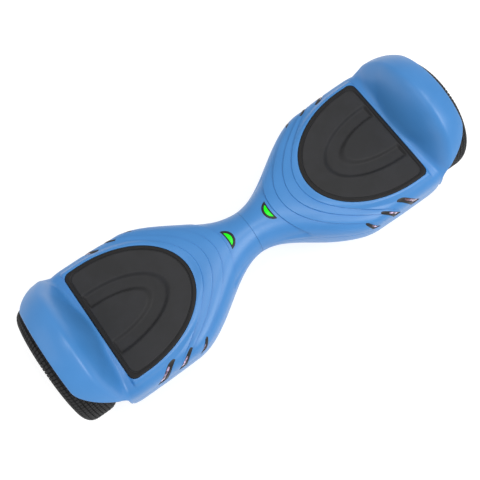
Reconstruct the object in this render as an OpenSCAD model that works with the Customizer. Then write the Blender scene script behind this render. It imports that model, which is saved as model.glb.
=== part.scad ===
// Self balancing hoverboard: two half bodies that twist about one axle line, a hub motor wheel
// at each end, a sprung foot pad on each half.
// X runs along the axle to the right, -Y is the front, Z is up, the ground is z = 0 and the
// origin lies on the ground under the middle of the centre joint. Millimetres.

/* [Wheels] */
// Outer diameter of the tyres
wheel_d = 161; // [155:1:166]
// Width of the tyres
tyre_w = 46; // [40:1:48]
// Distance between the outer faces of the two tyres
track_outer = 586; // [582:1:590]
// Radius of the rounded tyre shoulders
shoulder_r = 15; // [8:1:18]
// Radius of the rotor shell that carries the tyre
rotor_r = 58; // [56:1:60]
// Radius of the motor axle
axle_r = 7.5; // [7:0.1:8]

/* [Body] */
// Radius of the round neck at the centre joint
neck_r = 29.5; // [29:0.5:32]
// Half of the body's greatest front to back width
body_half_w = 92.5; // [91:0.5:95]
// Distance from the centre over which the neck flares to the deck
flare_len = 140; // [130:1:145]
// Height of the deck above the axle
deck_rise = 35; // [34:0.5:36]
// Depth of the underside below the axle
belly_drop = 49; // [47:0.5:50]
// How square the deck's cross-section is, 2 being an ellipse
deck_square = 4.4; // [3.8:0.1:5]
// Thickness of the moulded covers
wall = 3; // [2.5:0.1:3.2]
// Gap between the two halves at the centre joint
seam_gap = 0.8; // [0.6:0.1:1.2]

/* [Fender] */
// Where the fender starts to rise from the deck
fender_start = 222; // [220:1:223]
// Where the fender reaches its crest
fender_crest = 254; // [252:1:256]
// Where the fender ends over the tyre
fender_end = 281; // [279:1:283]
// Radius of the fender about the axle at its crest
fender_r = 95.5; // [94:0.5:97]
// How much lower the fender's outer rim is than its crest
fender_drop = 7; // [5:0.5:8]

/* [Foot pads] */
// Distance from the centre to the straight edge of a pad
pad_edge = 220; // [219:0.5:221]
// Distance from the centre to the rounded nose of a pad
pad_nose = 90; // [86:1:96]
// Half of the pad's width
pad_half_w = 77; // [74:0.5:78]
// Height of the pad's top above the ground
pad_top = 115; // [114:0.5:116]
// Downward travel of a pad on its bumpers
pad_travel = 1.5; // [1:0.1:2]

/* [Hidden] */
$fn = 96;

axle_z = wheel_d / 2;
tyre_out = track_outer / 2;
tyre_in = tyre_out - tyre_w;
body_end = 236;                 // where the covers end beside the wheel
deck_start = 90;                // where the deck has its full height
corner_len = 18;                // length over which the body's outer corners round off
corner_cut = 2;                 // how much narrower the body is at its very end
late_flare = 1.5;               // last part of the half width, reached well along the pads
round_len = 80;                 // over this length the neck's circle loosens a little
square_start = 80;              // from here the deck's section turns from round to square
square_len = 140;
side_rise = 8;                  // how much nearer the fender starts at the sides
skin_x = [seam_gap / 2, 10, 20, 30, 40, 50, 60, 70, 80, 90, 100, 112, 126, 145, 170, 195, 212];
rise = [0, 0.035, 0.08, 0.135, 0.2, 0.27, 0.35, 0.44, 0.54, 0.68, 0.84, 1];
top_angles = [0, 15, 29, 42, 53, 61, 66, 70, 74, 79, 84, 90];
belly_angles = [90, 100, 110, 119, 128, 137, 146, 158, 170, 180];
rotor_in = tyre_in + 2;         // inboard face of the rotor shell
rotor_out = tyre_out - 4;       // outboard edge of the rotor shell
bearing_r = 16;
bearing_w = 9;
stator_x = 264;                 // inboard face of the stator core
stator_w = 11;
stator_r = 48.5;
teeth = 18;
magnet_count = 30;
plate_z = axle_z + 5.5;         // underside of the chassis plate
plate_t = 5;
pivot_r = 15;                   // pivot tube where the right half turns on it
bush_r = 18;
boss_r = 22;
boss_end = 60;
clamp_x = 206;
clamp_len = 26;
cover_fixings = [[112, 52], [208, 58]];
bumper_places = [[118, 30], [204, 48]];
button_at = [88, 17];
socket_at = [88, -17];
socket_r = 8;                   // bore of the charging socket
belly_z = axle_z - belly_drop;
gap = 0.3;                      // free space between neighbouring pieces
running = 0.05;                 // radial clearance of a shaft in its bearing

blue = "#66a0df";
black = "#2b2c2e";
rubber = "#3c3c3e";
steel = "#b9bcc0";
aluminium = "#a9adb1";

// ---- Outer surface of a half body, in polar form about the axle line ----

function ease(t) = let(s = max(0, min(1, t))) s * s * (3 - 2 * s);
function mix(a, b, t) = a + (b - a) * t;

// Half width of the body at a distance x from the centre
function half_width(x) = neck_r + (body_half_w - late_flare - neck_r) * ease(x / flare_len)
    + late_flare * ease((x - 100) / 90)
    - corner_cut * pow(max(0, x - body_end + corner_len) / corner_len, 2);

function superellipse(a, w, h, n) =
    1 / pow(pow(abs(sin(a)) / w, n) + pow(abs(cos(a)) / h, n), 1 / n);

// Radius of the fender's dome about the axle, before it meets the deck in a fillet
function fender_profile(x, a) =
    let(share = (x + side_rise * ease((abs(a) - 40) / 35) - fender_start)
        / (fender_crest - fender_start))
    share < 0 ? 0
        : x < fender_crest ? mix(deck_rise - 6, fender_r, sin(90 * min(share, 1)))
            : fender_r - fender_drop * pow((x - fender_crest) / (fender_end - fender_crest), 2);

// How square the deck's section is: round at the neck, then looser, then square
function squareness(x) = mix(2, deck_square,
    mix(ease(x / round_len), ease((x - square_start) / square_len), 0.75));

// Two radii joined by a soft fillet
function soft_max(p, q, k) = let(h = max(k - abs(p - q), 0) / k) max(p, q) + h * h * k / 4;

function top_radius(x, a) = let(flat = ease(x / deck_start))
    soft_max(
        superellipse(a, half_width(min(x, body_end)), mix(neck_r, deck_rise, flat), squareness(x)),
        fender_profile(x, a), 12);

function belly_radius(x, a) = let(flat = ease(x / deck_start))
    superellipse(a, half_width(x), mix(neck_r, belly_drop, flat), mix(2, 3.4, flat));

// Outer rim of the top cover: over the tyre at the top, beside it at the sides
function rim_x(a) = mix(fender_end, body_end, ease((abs(a) - 38) / 42));

function on_angle(x, r, a) = [x, -r * sin(a), axle_z + r * cos(a)];
function top_point(u, a) = let(x = u <= fender_start ? u
    : mix(fender_start, rim_x(a), u - fender_start)) on_angle(x, top_radius(x, a), a);
function belly_point(u, a) = on_angle(u, belly_radius(u, a), a);
function skin_point(u, a, top) = top ? top_point(u, a) : belly_point(u, a);
function unit(v) = v / norm(v);

// Outward normal of the skin, from two short chords
function skin_normal(u, a, top) = let(
        du = top && u >= fender_start ? 0.004 : 0.2,
        u0 = top && u > fender_start + 0.5 ? u - du : u,
        along = skin_point(u0 + du, a, top) - skin_point(u0, a, top),
        across = skin_point(u, a + 0.4, top) - skin_point(u, a - 0.4, top))
    unit(cross(across, along));

// A sheet that follows the skin between two depths below it, as one closed solid
module skin_sheet(us, angles, outer, inner, top = true) {
    rows = len(us);
    cols = len(angles);
    layer = rows * cols;
    points = [for (depth = [outer, inner]) for (u = us) for (a = angles)
        skin_point(u, a, top) - depth * skin_normal(u, a, top)];
    function id(l, i, j) = l * layer + i * cols + j;
    function quad(p, q, r, s) = [[p, q, r], [p, r, s]];
    faces = [
        for (i = [0 : rows - 2]) for (j = [0 : cols - 2]) each quad(
            id(0, i, j), id(0, i + 1, j), id(0, i + 1, j + 1), id(0, i, j + 1)),
        for (i = [0 : rows - 2]) for (j = [0 : cols - 2]) each quad(
            id(1, i, j + 1), id(1, i + 1, j + 1), id(1, i + 1, j), id(1, i, j)),
        for (i = [0 : rows - 2]) each quad(
            id(0, i, 0), id(1, i, 0), id(1, i + 1, 0), id(0, i + 1, 0)),
        for (i = [0 : rows - 2]) each quad(
            id(1, i, cols - 1), id(0, i, cols - 1), id(0, i + 1, cols - 1), id(1, i + 1, cols - 1)),
        for (j = [0 : cols - 2]) each quad(
            id(1, 0, j), id(0, 0, j), id(0, 0, j + 1), id(1, 0, j + 1)),
        for (j = [0 : cols - 2]) each quad(
            id(0, rows - 1, j), id(1, rows - 1, j), id(1, rows - 1, j + 1), id(0, rows - 1, j + 1))
    ];
    polyhedron(points, faces);
}

function both_ways(list) = [for (i = [len(list) - 1 : -1 : 1]) -list[i], each list];
function past_180(list) = [each list, for (i = [len(list) - 2 : -1 : 0]) 360 - list[i]];

// ---- Helpers ----

module along_x(x, len, r) {
    translate([x, 0, axle_z]) rotate([0, 90, 0]) cylinder(h = len, r = r);
}

// A profile of [radius, x] points turned about the axle line
module turned(profile) {
    translate([0, 0, axle_z]) rotate([0, 90, 0]) rotate_extrude() polygon(profile);
}

module box_at(x, y, z) {
    translate([x[0], y[0], z[0]]) cube([x[1] - x[0], y[1] - y[0], z[1] - z[0]]);
}

module left() {
    mirror([1, 0, 0]) children();
}

// Plan outline of a foot pad, grown by g all round
module pad_outline(g) {
    round_x = 200;
    corner = 9;
    long = round_x - pad_nose + g;
    short = pad_half_w + g;
    edge = pad_edge + g;
    polygon([
        for (a = [0 : 6 : 180]) [round_x - long * sin(a), short * cos(a)],
        for (a = [-90 : 15 : 0]) [edge - corner + corner * cos(a), corner - short + corner * sin(a)],
        for (a = [0 : 15 : 90]) [edge - corner + corner * cos(a), short - corner + corner * sin(a)]
    ]);
}

// Side outlines of the three claw slots, as X and height above the axle, grown by g
module claw_outlines(g) {
    low = 4;
    claws = [
        [[118.9, 17.6], [121.7, 19], [130.5, 12.6], [138.5, low], [127, low], [124, 9.8]],
        [[140, 22.8], [142.6, 24.4], [158.5, 18], [170, low], [157, low], [152.5, 14]],
        [[165.2, 25.6], [167.6, 27.3], [184.5, 22.8], [200.5, low], [185.5, low], [177, 18.5]]];
    translate([0, axle_z]) for (c = claws) offset(delta = g) polygon(c);
}

module claw_prisms(g) {
    for (s = [-1, 1])
        translate([0, s * 88, 0]) rotate([90, 0, 0]) linear_extrude(height = 30, center = true)
            claw_outlines(g);
}

// Plan outline of the status light, a half circle with its flat side outboard
module status_outline(g) {
    intersection() {
        translate([36.5, 0]) circle(r = 13.8 + g);
        translate([0, -30]) square([34 + g, 60]);
    }
}

module status_prism(g) {
    translate([0, 0, axle_z + 20]) linear_extrude(height = 20) status_outline(g);
}

// ---- Covers ----

// Point of a cover's cross-section at x, a little below its outer face
function wall_point(x, a, top) = on_angle(x, (top ? top_radius(x, a) : belly_radius(x, a)) - 1.2, a);

// Wall that closes a cover beside the wheel, from the skin's own outline
module end_wall(angles, cut, top) {
    x0 = body_end - wall - cut;
    translate([x0, 0, axle_z]) rotate([90, 0, 90]) linear_extrude(height = wall)
        polygon([for (a = angles) let(p = wall_point(x0, a, top))
            [p[1], p[2] - axle_z]]);
}

module pad_opening() {
    translate([0, 0, axle_z + 20]) linear_extrude(height = 40) pad_outline(0.6);
}

module top_cover() {
    us = [each skin_x, for (r = rise) fender_start + r];
    color(blue) difference() {
        union() {
            skin_sheet(us, both_ways(top_angles), 0, wall);
            end_wall([for (a = [-90 : 7.5 : 90]) a], 1, true);
        }
        pad_opening();
        claw_prisms(0);
        status_prism(0);
        along_x(body_end - 20, 30, 13);
    }
}

module bottom_cover(ports) {
    us = [each skin_x, 222, 230, body_end];
    color(blue) difference() {
        union() {
            translate([0, 0, -gap]) skin_sheet(us, past_180(belly_angles), 0, wall, false);
            translate([0, 0, -gap]) end_wall([for (a = [90 : 7.5 : 270]) a], 0.5, false);
            for (p = cover_fixings) for (s = [-1, 1])
                translate([p[0], s * p[1], belly_z + 5]) cylinder(h = 25, r = 6);
        }
        for (p = cover_fixings) for (s = [-1, 1]) translate([p[0], s * p[1], belly_z - 5]) {
            cylinder(h = 16, r = 4.3);
            cylinder(h = 50, r = 2.2);
        }
        if (ports) {
            translate([button_at[0], button_at[1], belly_z - 5]) cylinder(h = 20, r = 12.1);
            translate([socket_at[0], socket_at[1], belly_z - 5]) cylinder(h = 20, r = 11.1);
        }
        along_x(body_end - 20, 30, 13);
    }
}

module status_sheet(outer, inner) {
    skin_sheet([10, 16, 22, 28, 34, 40, 48], [-42, -28, -14, 0, 14, 28, 42], outer, inner);
}

module status_lens() {
    color("#21e02a") intersection() {
        status_sheet(0.6, 2.8);
        status_prism(-2.2);
    }
}

module status_bezel() {
    color(black) difference() {
        intersection() {
            status_sheet(0.2, 3.4);
            status_prism(-0.15);
        }
        status_prism(-2);
    }
}

module claw_sheet(outer, inner) {
    for (s = [-1, 1])
        skin_sheet([for (x = [110 : 13.75 : 220]) x],
            [for (a = s > 0 ? [46 : 6 : 88] : [-88 : 6 : -46]) a], outer, inner);
}

module claw_lenses() {
    color("#d9d3ea") intersection() {
        claw_sheet(0.9, 2.4);
        claw_prisms(-1.2);
    }
}

module claw_bezels() {
    color(black) difference() {
        intersection() {
            claw_sheet(0.3, 3.2);
            claw_prisms(-0.15);
        }
        claw_prisms(-1);
        pad_opening();
    }
}

module light_strips() {
    for (s = [-1, 1]) {
        color("#e9ecee") box_at([134, 206], s > 0 ? [79, 80.6] : [-80.6, -79], [axle_z + 6, axle_z + 20]);
        color("#f4f1dd") for (x = [138 : 12 : 200])
            box_at([x, x + 5], s > 0 ? [80.6, 81.8] : [-81.8, -80.6], [axle_z + 10, axle_z + 15]);
    }
}

// ---- Foot pads ----

module foot_pad() {
    color(rubber) difference() {
        translate([0, 0, pad_top - 6]) linear_extrude(height = 6) pad_outline(0);
        translate([0, 0, pad_top - 1]) linear_extrude(height = 2) difference() {
            pad_channel(124, 42);
            pad_channel(147, 25);
        }
        translate([0, 0, pad_top - 0.8]) linear_extrude(height = 2) difference() {
            pad_outline(-6.5);
            pad_outline(-7.5);
        }
    }
}

// Round-nosed strip on the pad, open to its straight edge
module pad_channel(nose, half_w) {
    translate([nose + half_w, 0]) circle(r = half_w);
    translate([nose + half_w, -half_w]) square([pad_edge - 9 - nose - half_w, 2 * half_w]);
}

module pad_carrier() {
    color(black) {
        translate([0, 0, pad_top - 10]) linear_extrude(height = 4) pad_outline(-3);
        for (s = [-1, 1]) box_at([158, 166], [s * 15 - 1, s * 15 + 1], [pad_top - 15, pad_top - 10]);
    }
}

module pad_bumpers() {
    color("#d8d8d2") for (p = bumper_places) for (s = [-1, 1])
        translate([p[0], s * p[1], plate_z + plate_t])
            cylinder(h = pad_top - 10 - plate_z - plate_t, r1 = 6, r2 = 4);
}

module sensor_board() {
    z = plate_z + plate_t;
    color("#1f6b45") box_at([132, 192], [-22, 22], [z + 2, z + 3.6]);
    color(aluminium) for (x = [137, 187]) for (y = [-17, 17])
        translate([x, y, z]) cylinder(h = 2, r = 2.5);
    color(black) {
        box_at([144, 152], [-4, 4], [z + 3.6, z + 5]);
        box_at([172, 182], [-8, 8], [z + 3.6, z + 7]);
    }
}

// ---- Chassis and centre joint ----

module chassis() {
    plan = [[46, 24], [70, 46], [95, 66], [125, 75], [150, 77], [216, 77], [226, 70], [230, 50]];
    color(aluminium) difference() {
        union() {
            translate([0, 0, plate_z]) linear_extrude(height = plate_t) polygon([
                for (p = plan) p,
                for (i = [len(plan) - 1 : -1 : 0]) [plan[i][0], -plan[i][1]]
            ]);
            along_x(3, boss_end - 3, boss_r);
            for (s = [-1, 1]) {
                box_at([64, 228], s > 0 ? [44, 48] : [-48, -44], [axle_z - 16, plate_z + 1]);
                for (p = cover_fixings) translate([p[0], s * p[1], belly_z + 30 + gap])
                    cylinder(h = plate_z - belly_z - 29, r = 5.5);
            }
            box_at([clamp_x, clamp_x + clamp_len], [-20, 20], [axle_z, plate_z + 1]);
            box_at([50, 58], [-38, 38], [axle_z - 16, plate_z + 1]);
        }
        along_x(0, 100, bush_r);
        along_x(boss_end - 0.5, 16, boss_r);
        along_x(clamp_x - 5, 50, axle_r + 0.1);
        for (s = [-1, 1]) {
            translate([clamp_x + clamp_len / 2, s * 14, axle_z - 5]) cylinder(h = 10, r = 3.05);
            for (p = cover_fixings) translate([p[0], s * p[1], belly_z]) cylinder(h = 48, r = 2.05);
        }
    }
}

module axle_clamp() {
    color(aluminium) difference() {
        box_at([clamp_x, clamp_x + clamp_len], [-20, 20], [axle_z - 15, axle_z - 0.4]);
        along_x(clamp_x - 5, 50, axle_r + 0.1);
        for (s = [-1, 1])
            translate([clamp_x + clamp_len / 2, s * 14, axle_z - 20]) cylinder(h = 30, r = 3.2);
    }
}

module clamp_screws() {
    color(steel) for (s = [-1, 1]) translate([clamp_x + clamp_len / 2, s * 14, 0]) {
        translate([0, 0, axle_z - 20]) cylinder(h = 5, r = 5);
        translate([0, 0, axle_z - 15]) cylinder(h = 19, r = 3);
    }
}

module cover_screws() {
    color(steel) for (p = cover_fixings) for (s = [-1, 1]) translate([p[0], s * p[1], belly_z]) {
        difference() {
            translate([0, 0, 8]) cylinder(h = 3, r = 4);
            translate([0, 0, 7]) cylinder(h = 2.4, r = 2, $fn = 6);
        }
        translate([0, 0, 11]) cylinder(h = 35, r = 2);
    }
}

module pivot_tube() {
    color(steel) difference() {
        union() {
            along_x(-boss_end, boss_end - 2, bush_r - gap / 10);
            along_x(-4, 4 + boss_end + 14, pivot_r);
        }
        along_x(-70, 160, 11);
    }
}

module pivot_bushes() {
    color("#b08d4a") for (x = [3, boss_end - 15]) difference() {
        along_x(x, 15, bush_r);
        along_x(x - 1, 20, pivot_r + running);
    }
}

module pivot_nut() {
    color(steel) difference() {
        translate([boss_end + 2, 0, axle_z]) rotate([0, 90, 0]) cylinder(h = 10, r = 20, $fn = 6);
        along_x(boss_end, 20, pivot_r);
    }
}

// ---- Electrics ----

// Round cable through points in the plane y = y0, given as X and Z
module cable(points, r, y0) {
    n = len(points);
    sides = 8;
    function way(i) = unit([points[min(i + 1, n - 1)][0] - points[max(i - 1, 0)][0],
        points[min(i + 1, n - 1)][1] - points[max(i - 1, 0)][1]]);
    ring = [for (i = [0 : n - 1]) for (k = [0 : sides - 1])
        let(d = way(i), a = k * 360 / sides)
            [points[i][0] - d[1] * r * cos(a), y0 + r * sin(a), points[i][1] + d[0] * r * cos(a)]];
    polyhedron(ring, [
        [for (k = [0 : sides - 1]) k],
        for (i = [0 : n - 2]) for (k = [0 : sides - 1]) let(m = (k + 1) % sides)
            [i * sides + k, (i + 1) * sides + k, (i + 1) * sides + m, i * sides + m],
        [for (k = [sides - 1 : -1 : 0]) (n - 1) * sides + k]
    ]);
}

module main_board() {
    z = axle_z - 22;
    color("#1f6b45") box_at([-190, -90], [-36, 36], [z, z + 1.6]);
    color(aluminium) {
        box_at([-186, -150], [-34, 34], [z - 12, z]);
        for (x = [-120, -96]) for (y = [-30, 30]) translate([x, y, z + 1.6]) cylinder(h = 4, r = 3);
    }
    color(black) {
        box_at([-112, -98], [-14, 14], [z + 1.6, z + 9]);
        box_at([-168, -156], [-9, 9], [z + 1.6, z + 7]);
        for (y = [-18, 0, 18]) translate([-134, y, z - 16]) cylinder(h = 16, r = 7);
    }
}

module main_harness() {
    z = axle_z;
    color(black) cable([[75, z], [40, z], [10, z], [-30, z], [-66, z], [-80, z], [-90, z - 2],
        [-98, z - 5], [-103, z - 8], [-105, z - 11], [-105, z - 12.9]], 5, 0);
}

module motor_cable_left() {
    z = axle_z;
    color(black) cable([[-204, z], [-190, z], [-176, z], [-168, z - 3], [-163, z - 8],
        [-162, z - 12], [-162, z - 14.9]], 3.5, 0);
}

module motor_cable_right() {
    color(black) along_x(75.5, clamp_x - 2 - 75.5, 3.5);
}

module battery_pack() {
    color("#2f5fa8") difference() {
        box_at([104, 200], [-40, 40], [belly_z + 6, axle_z - 8]);
        for (y = [-40, 40]) box_at([150, 162], [y - 1, y + 1], [belly_z, axle_z]);
    }
}

module battery_strap() {
    color(black) difference() {
        box_at([151, 161], [-42, 42], [belly_z + 4, axle_z - 5]);
        box_at([140, 170], [-40, 40], [belly_z + 6, axle_z - 7.9]);
        box_at([140, 170], [-39, 39], [belly_z + 6, axle_z - 7.9]);
    }
}

module power_button() {
    color("#c9ccd0") translate([button_at[0], button_at[1], belly_z - 1.2]) union() {
        cylinder(h = 6, r = 9);
        translate([0, 0, 6]) cylinder(h = 2, r = 10.2);
    }
}

module button_ring() {
    color(black) translate([button_at[0], button_at[1], belly_z]) difference() {
        translate([0, 0, -0.5]) cylinder(h = 14, r = 12);
        translate([0, 0, -1]) cylinder(h = 5.6, r = 9.3);
        translate([0, 0, 4.2]) cylinder(h = 7, r = 10.8);
    }
}

module charging_socket() {
    color(steel) translate([socket_at[0], socket_at[1], belly_z - 0.5]) difference() {
        cylinder(h = 18, r = 11);
        translate([0, 0, -1]) cylinder(h = 12, r = socket_r);
        for (a = [90, 210, 330]) rotate([0, 0, a]) translate([4, 0, 10]) cylinder(h = 5, r = 1.2);
    }
}

// ---- Wheels and motors ----

function arc(cx, cy, r, from, to, steps) =
    [for (i = [0 : steps]) let(a = mix(from, to, i / steps)) [cx + r * cos(a), cy + r * sin(a)]];

module tyre() {
    r = wheel_d / 2;
    s = shoulder_r;
    color(rubber) turned([
        [rotor_r, tyre_in + 3], [rotor_r + 3, tyre_in],
        each arc(r - s, tyre_in + s, s, -90, 0, 8),
        each arc(r - s, tyre_out - s, s, 0, 90, 8),
        [rotor_r + 3, tyre_out], [rotor_r, tyre_out - 3]
    ]);
}

module rotor_shell() {
    seat = bearing_r;
    color(aluminium) turned([
        [seat, rotor_in], [rotor_r, rotor_in], [rotor_r, rotor_out], [rotor_r - 5, rotor_out],
        [rotor_r - 5, rotor_in + 5], [seat + 5, rotor_in + 5], [seat + 5, rotor_in + bearing_w],
        [seat, rotor_in + bearing_w]
    ]);
}

module hub_cover() {
    x = rotor_out;
    seat = bearing_r;
    color("#c9d0d2") turned([
        [0, x + 5], [0, x + 7], [20, x + 7], [44, x + 5.5], [52, x + 3.5], [rotor_r - 0.5, x + gap],
        [rotor_r - 5.5, x + gap], [rotor_r - 5.5, x - 3], [seat + 5, x - 3], [seat + 5, x - 8],
        [seat, x - 8], [seat, x + 1], [10, x + 1], [10, x + 5]
    ]);
}

module wheel_bearings() {
    color(steel) for (x = [rotor_in, rotor_out - 8]) difference() {
        along_x(x, bearing_w, bearing_r);
        along_x(x - 1, bearing_w + 2, axle_r + running);
    }
}

module magnets() {
    step = 360 / magnet_count;
    color("#8a8f94") for (i = [0 : magnet_count - 1])
        translate([stator_x - 2, 0, axle_z]) rotate([0, 90, 0]) rotate([0, 0, i * step])
            rotate_extrude(angle = step - 2) translate([stator_r + 1, 0]) square([3.4, stator_w + 4]);
}

module motor_axle() {
    color(steel) difference() {
        along_x(clamp_x - 1, rotor_out + 2 - clamp_x, axle_r);
        for (s = [-1, 1])
            translate([clamp_x - 2, s * (axle_r + 5 - 1), axle_z - 10]) translate([0, -5, 0])
                cube([20, 10, 20]);
    }
}

module stator_carrier() {
    color(aluminium) difference() {
        union() {
            along_x(stator_x - 3, stator_w + 3, 20);
            along_x(stator_x - 3, 3, 24);
        }
        along_x(stator_x - 10, 40, axle_r);
    }
}

// Tooth of the stator in its own frame, along +X, grown by g
module tooth(g, r0, r1) {
    translate([r0, -2.2 - g]) square([r1 - r0, 4.4 + 2 * g]);
}

module stator_core() {
    color("#70757a") translate([stator_x, 0, axle_z]) rotate([90, 0, 90])
        linear_extrude(height = stator_w) difference() {
            union() {
                circle(r = 30);
                for (i = [0 : teeth - 1]) rotate(i * 360 / teeth) {
                    tooth(0, 28, stator_r - 2);
                    translate([stator_r - 3, -5.5]) square([2.4, 11]);
                }
            }
            circle(r = 20);
        }
}

module stator_coils() {
    color("#b5652b") translate([stator_x - 2, 0, axle_z]) rotate([90, 0, 90])
        for (i = [0 : teeth - 1]) rotate(i * 360 / teeth) difference() {
            linear_extrude(height = stator_w + 4) tooth(1.6, 32, stator_r - 4);
            translate([30, -2.3, 1.9]) cube([20, 4.6, stator_w + 0.2]);
        }
}

left() top_cover();  // top_cover_left
left() bottom_cover(false);  // bottom_cover_left
left() chassis();  // chassis_left
left() foot_pad();  // foot_pad_left
left() pad_carrier();  // pad_carrier_left
left() pad_bumpers();  // pad_bumpers_left
left() sensor_board();  // sensor_board_left
left() status_lens();  // status_lens_left
left() status_bezel();  // status_bezel_left
left() claw_lenses();  // claw_lenses_left
left() claw_bezels();  // claw_bezels_left
left() light_strips();  // light_strips_left
left() motor_axle();  // motor_axle_left
left() stator_carrier();  // stator_carrier_left
left() stator_core();  // stator_core_left
left() stator_coils();  // stator_coils_left
left() axle_clamp();  // axle_clamp_left
left() clamp_screws();  // clamp_screws_left
left() rotor_shell();  // rotor_shell_left
left() magnets();  // magnets_left
left() wheel_bearings();  // wheel_bearings_left
left() hub_cover();  // hub_cover_left
left() tyre();  // tyre_left
left() cover_screws();  // cover_screws_left
top_cover();  // top_cover_right
bottom_cover(true);  // bottom_cover_right
chassis();  // chassis_right
foot_pad();  // foot_pad_right
pad_carrier();  // pad_carrier_right
pad_bumpers();  // pad_bumpers_right
sensor_board();  // sensor_board_right
status_lens();  // status_lens_right
status_bezel();  // status_bezel_right
claw_lenses();  // claw_lenses_right
claw_bezels();  // claw_bezels_right
light_strips();  // light_strips_right
motor_axle();  // motor_axle_right
stator_carrier();  // stator_carrier_right
stator_core();  // stator_core_right
stator_coils();  // stator_coils_right
axle_clamp();  // axle_clamp_right
clamp_screws();  // clamp_screws_right
rotor_shell();  // rotor_shell_right
magnets();  // magnets_right
wheel_bearings();  // wheel_bearings_right
hub_cover();  // hub_cover_right
tyre();  // tyre_right
cover_screws();  // cover_screws_right
pivot_tube();
pivot_bushes();
pivot_nut();
main_board();
main_harness();
motor_cable_left();
battery_pack();
battery_strap();
motor_cable_right();
power_button();
button_ring();
charging_socket();
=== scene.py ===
import math

import bpy
import numpy as np
from mathutils import Matrix, Vector


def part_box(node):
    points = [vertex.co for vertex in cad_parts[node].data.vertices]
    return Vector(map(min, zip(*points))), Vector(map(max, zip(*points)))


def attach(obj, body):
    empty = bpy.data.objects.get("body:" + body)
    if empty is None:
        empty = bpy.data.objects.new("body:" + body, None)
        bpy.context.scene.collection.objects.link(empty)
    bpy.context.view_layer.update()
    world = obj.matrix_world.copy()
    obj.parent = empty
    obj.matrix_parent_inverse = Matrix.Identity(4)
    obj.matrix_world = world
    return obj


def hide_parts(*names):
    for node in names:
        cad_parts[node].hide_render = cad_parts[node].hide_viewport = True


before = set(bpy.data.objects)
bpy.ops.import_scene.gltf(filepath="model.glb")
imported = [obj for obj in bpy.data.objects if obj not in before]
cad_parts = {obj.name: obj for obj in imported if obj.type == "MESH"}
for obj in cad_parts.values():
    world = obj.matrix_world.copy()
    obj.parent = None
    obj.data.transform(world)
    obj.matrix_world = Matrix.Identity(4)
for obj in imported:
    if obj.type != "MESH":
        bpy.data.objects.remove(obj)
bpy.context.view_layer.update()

mm = 0.001
print("frame loaded")


# places and sizes read from the frame, in millimetres

def boxOf(node):
    low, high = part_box(node)
    return [v / mm for v in low], [v / mm for v in high]


coverHigh = boxOf("top_cover_right")[1]
bellyLow, bellyHigh = boxOf("bottom_cover_right")
padLow, padHigh = boxOf("foot_pad_right")
tyreLow, tyreHigh = boxOf("tyre_right")
axleHeight = (tyreLow[2] + tyreHigh[2]) / 2

body = {
    "seam": 0.1,                     # half the gap between the two halves
    "neck": 29.5,                    # radius of the round neck
    "halfWidth": coverHigh[1],
    "flareLength": 140,              # from the centre to nearly the full width
    "lateFlare": 1.5,                # the last of the width comes well along the pads
    "deckRise": 35,                  # deck above the axle
    "bellyDrop": 49,
    "deckStart": 90,
    "deckSquare": 4.4,               # 2 is an ellipse, more is squarer
    "roundLength": 80,               # over this the neck's circle loosens a little
    "squareStart": 80,
    "squareLength": 140,
    "bellySquare": 3.4,
    "end": bellyHigh[0],
    "cornerLength": 18,
    "cornerCut": 2,
    "wall": 2.6,
    "fenderStart": 222,
    "fenderCrest": 254,
    "fenderEnd": coverHigh[0],
    "fenderRadius": coverHigh[2] - axleHeight,
    "fenderDrop": 7,
    "sideRise": 8,                   # how much nearer the fender starts at the sides
    "lip": 1.3,                      # roundness of the fender's rim
    "hubHole": 13,                   # radius of the hole for the axle
    "deckCut": (22, 45),             # levels above the axle between which the deck is cut
    "flankCut": (76, 105),           # distances from the axle between which the flanks are cut
    "evenAt": 170.0,                 # the section along which the skin's columns are even
}


def deselectAll():
    for thing in bpy.context.selected_objects:
        thing.select_set(False)


def makeActive(piece):
    deselectAll()
    piece.select_set(True)
    bpy.context.view_layer.objects.active = piece


def applyModifier(piece, kind, name, **settings):
    makeActive(piece)
    modifier = piece.modifiers.new(name, kind)
    for key, value in settings.items():
        setattr(modifier, key, value)
    bpy.ops.object.modifier_apply(modifier=modifier.name)


def editAll(piece, *steps):          # runs edit mode steps on the whole piece
    makeActive(piece)
    bpy.ops.object.mode_set(mode="EDIT")
    bpy.ops.mesh.select_all(action="SELECT")
    for step in steps:
        step()
    bpy.ops.object.mode_set(mode="OBJECT")


def mergeAndTurnOut(piece, distance=0.00002):
    editAll(piece,
            lambda: bpy.ops.mesh.remove_doubles(threshold=distance),
            lambda: bpy.ops.mesh.normals_make_consistent(inside=False))


def smoothByAngle(piece, degrees=35):
    makeActive(piece)
    bpy.ops.object.shade_smooth_by_angle(angle=math.radians(degrees))


def gridPiece(name, points):         # a flat grid whose crossings are moved onto the shape
    rows, columns = points.shape[:2]
    deselectAll()
    bpy.ops.mesh.primitive_grid_add(x_subdivisions=columns - 1, y_subdivisions=rows - 1, size=1)
    piece = bpy.context.object
    piece.name = name
    piece.data.name = name
    piece.data.vertices.foreach_set("co", (points * mm).reshape(-1))
    piece.data.update()
    return piece


def mirrorPiece(piece, name):        # the same piece for the other half, with its own mesh
    twin = piece.copy()
    twin.data = piece.data.copy()
    twin.name = name
    twin.data.name = name
    bpy.context.collection.objects.link(twin)
    twin.data.transform(Matrix.Scale(-1, 4, (1, 0, 0)))
    twin.data.flip_normals()
    return twin


def cutAway(piece, cutter, name, operation="DIFFERENCE"):
    applyModifier(piece, "BOOLEAN", name, operation=operation, solver="EXACT", object=cutter)
    bpy.data.objects.remove(cutter)


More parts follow.
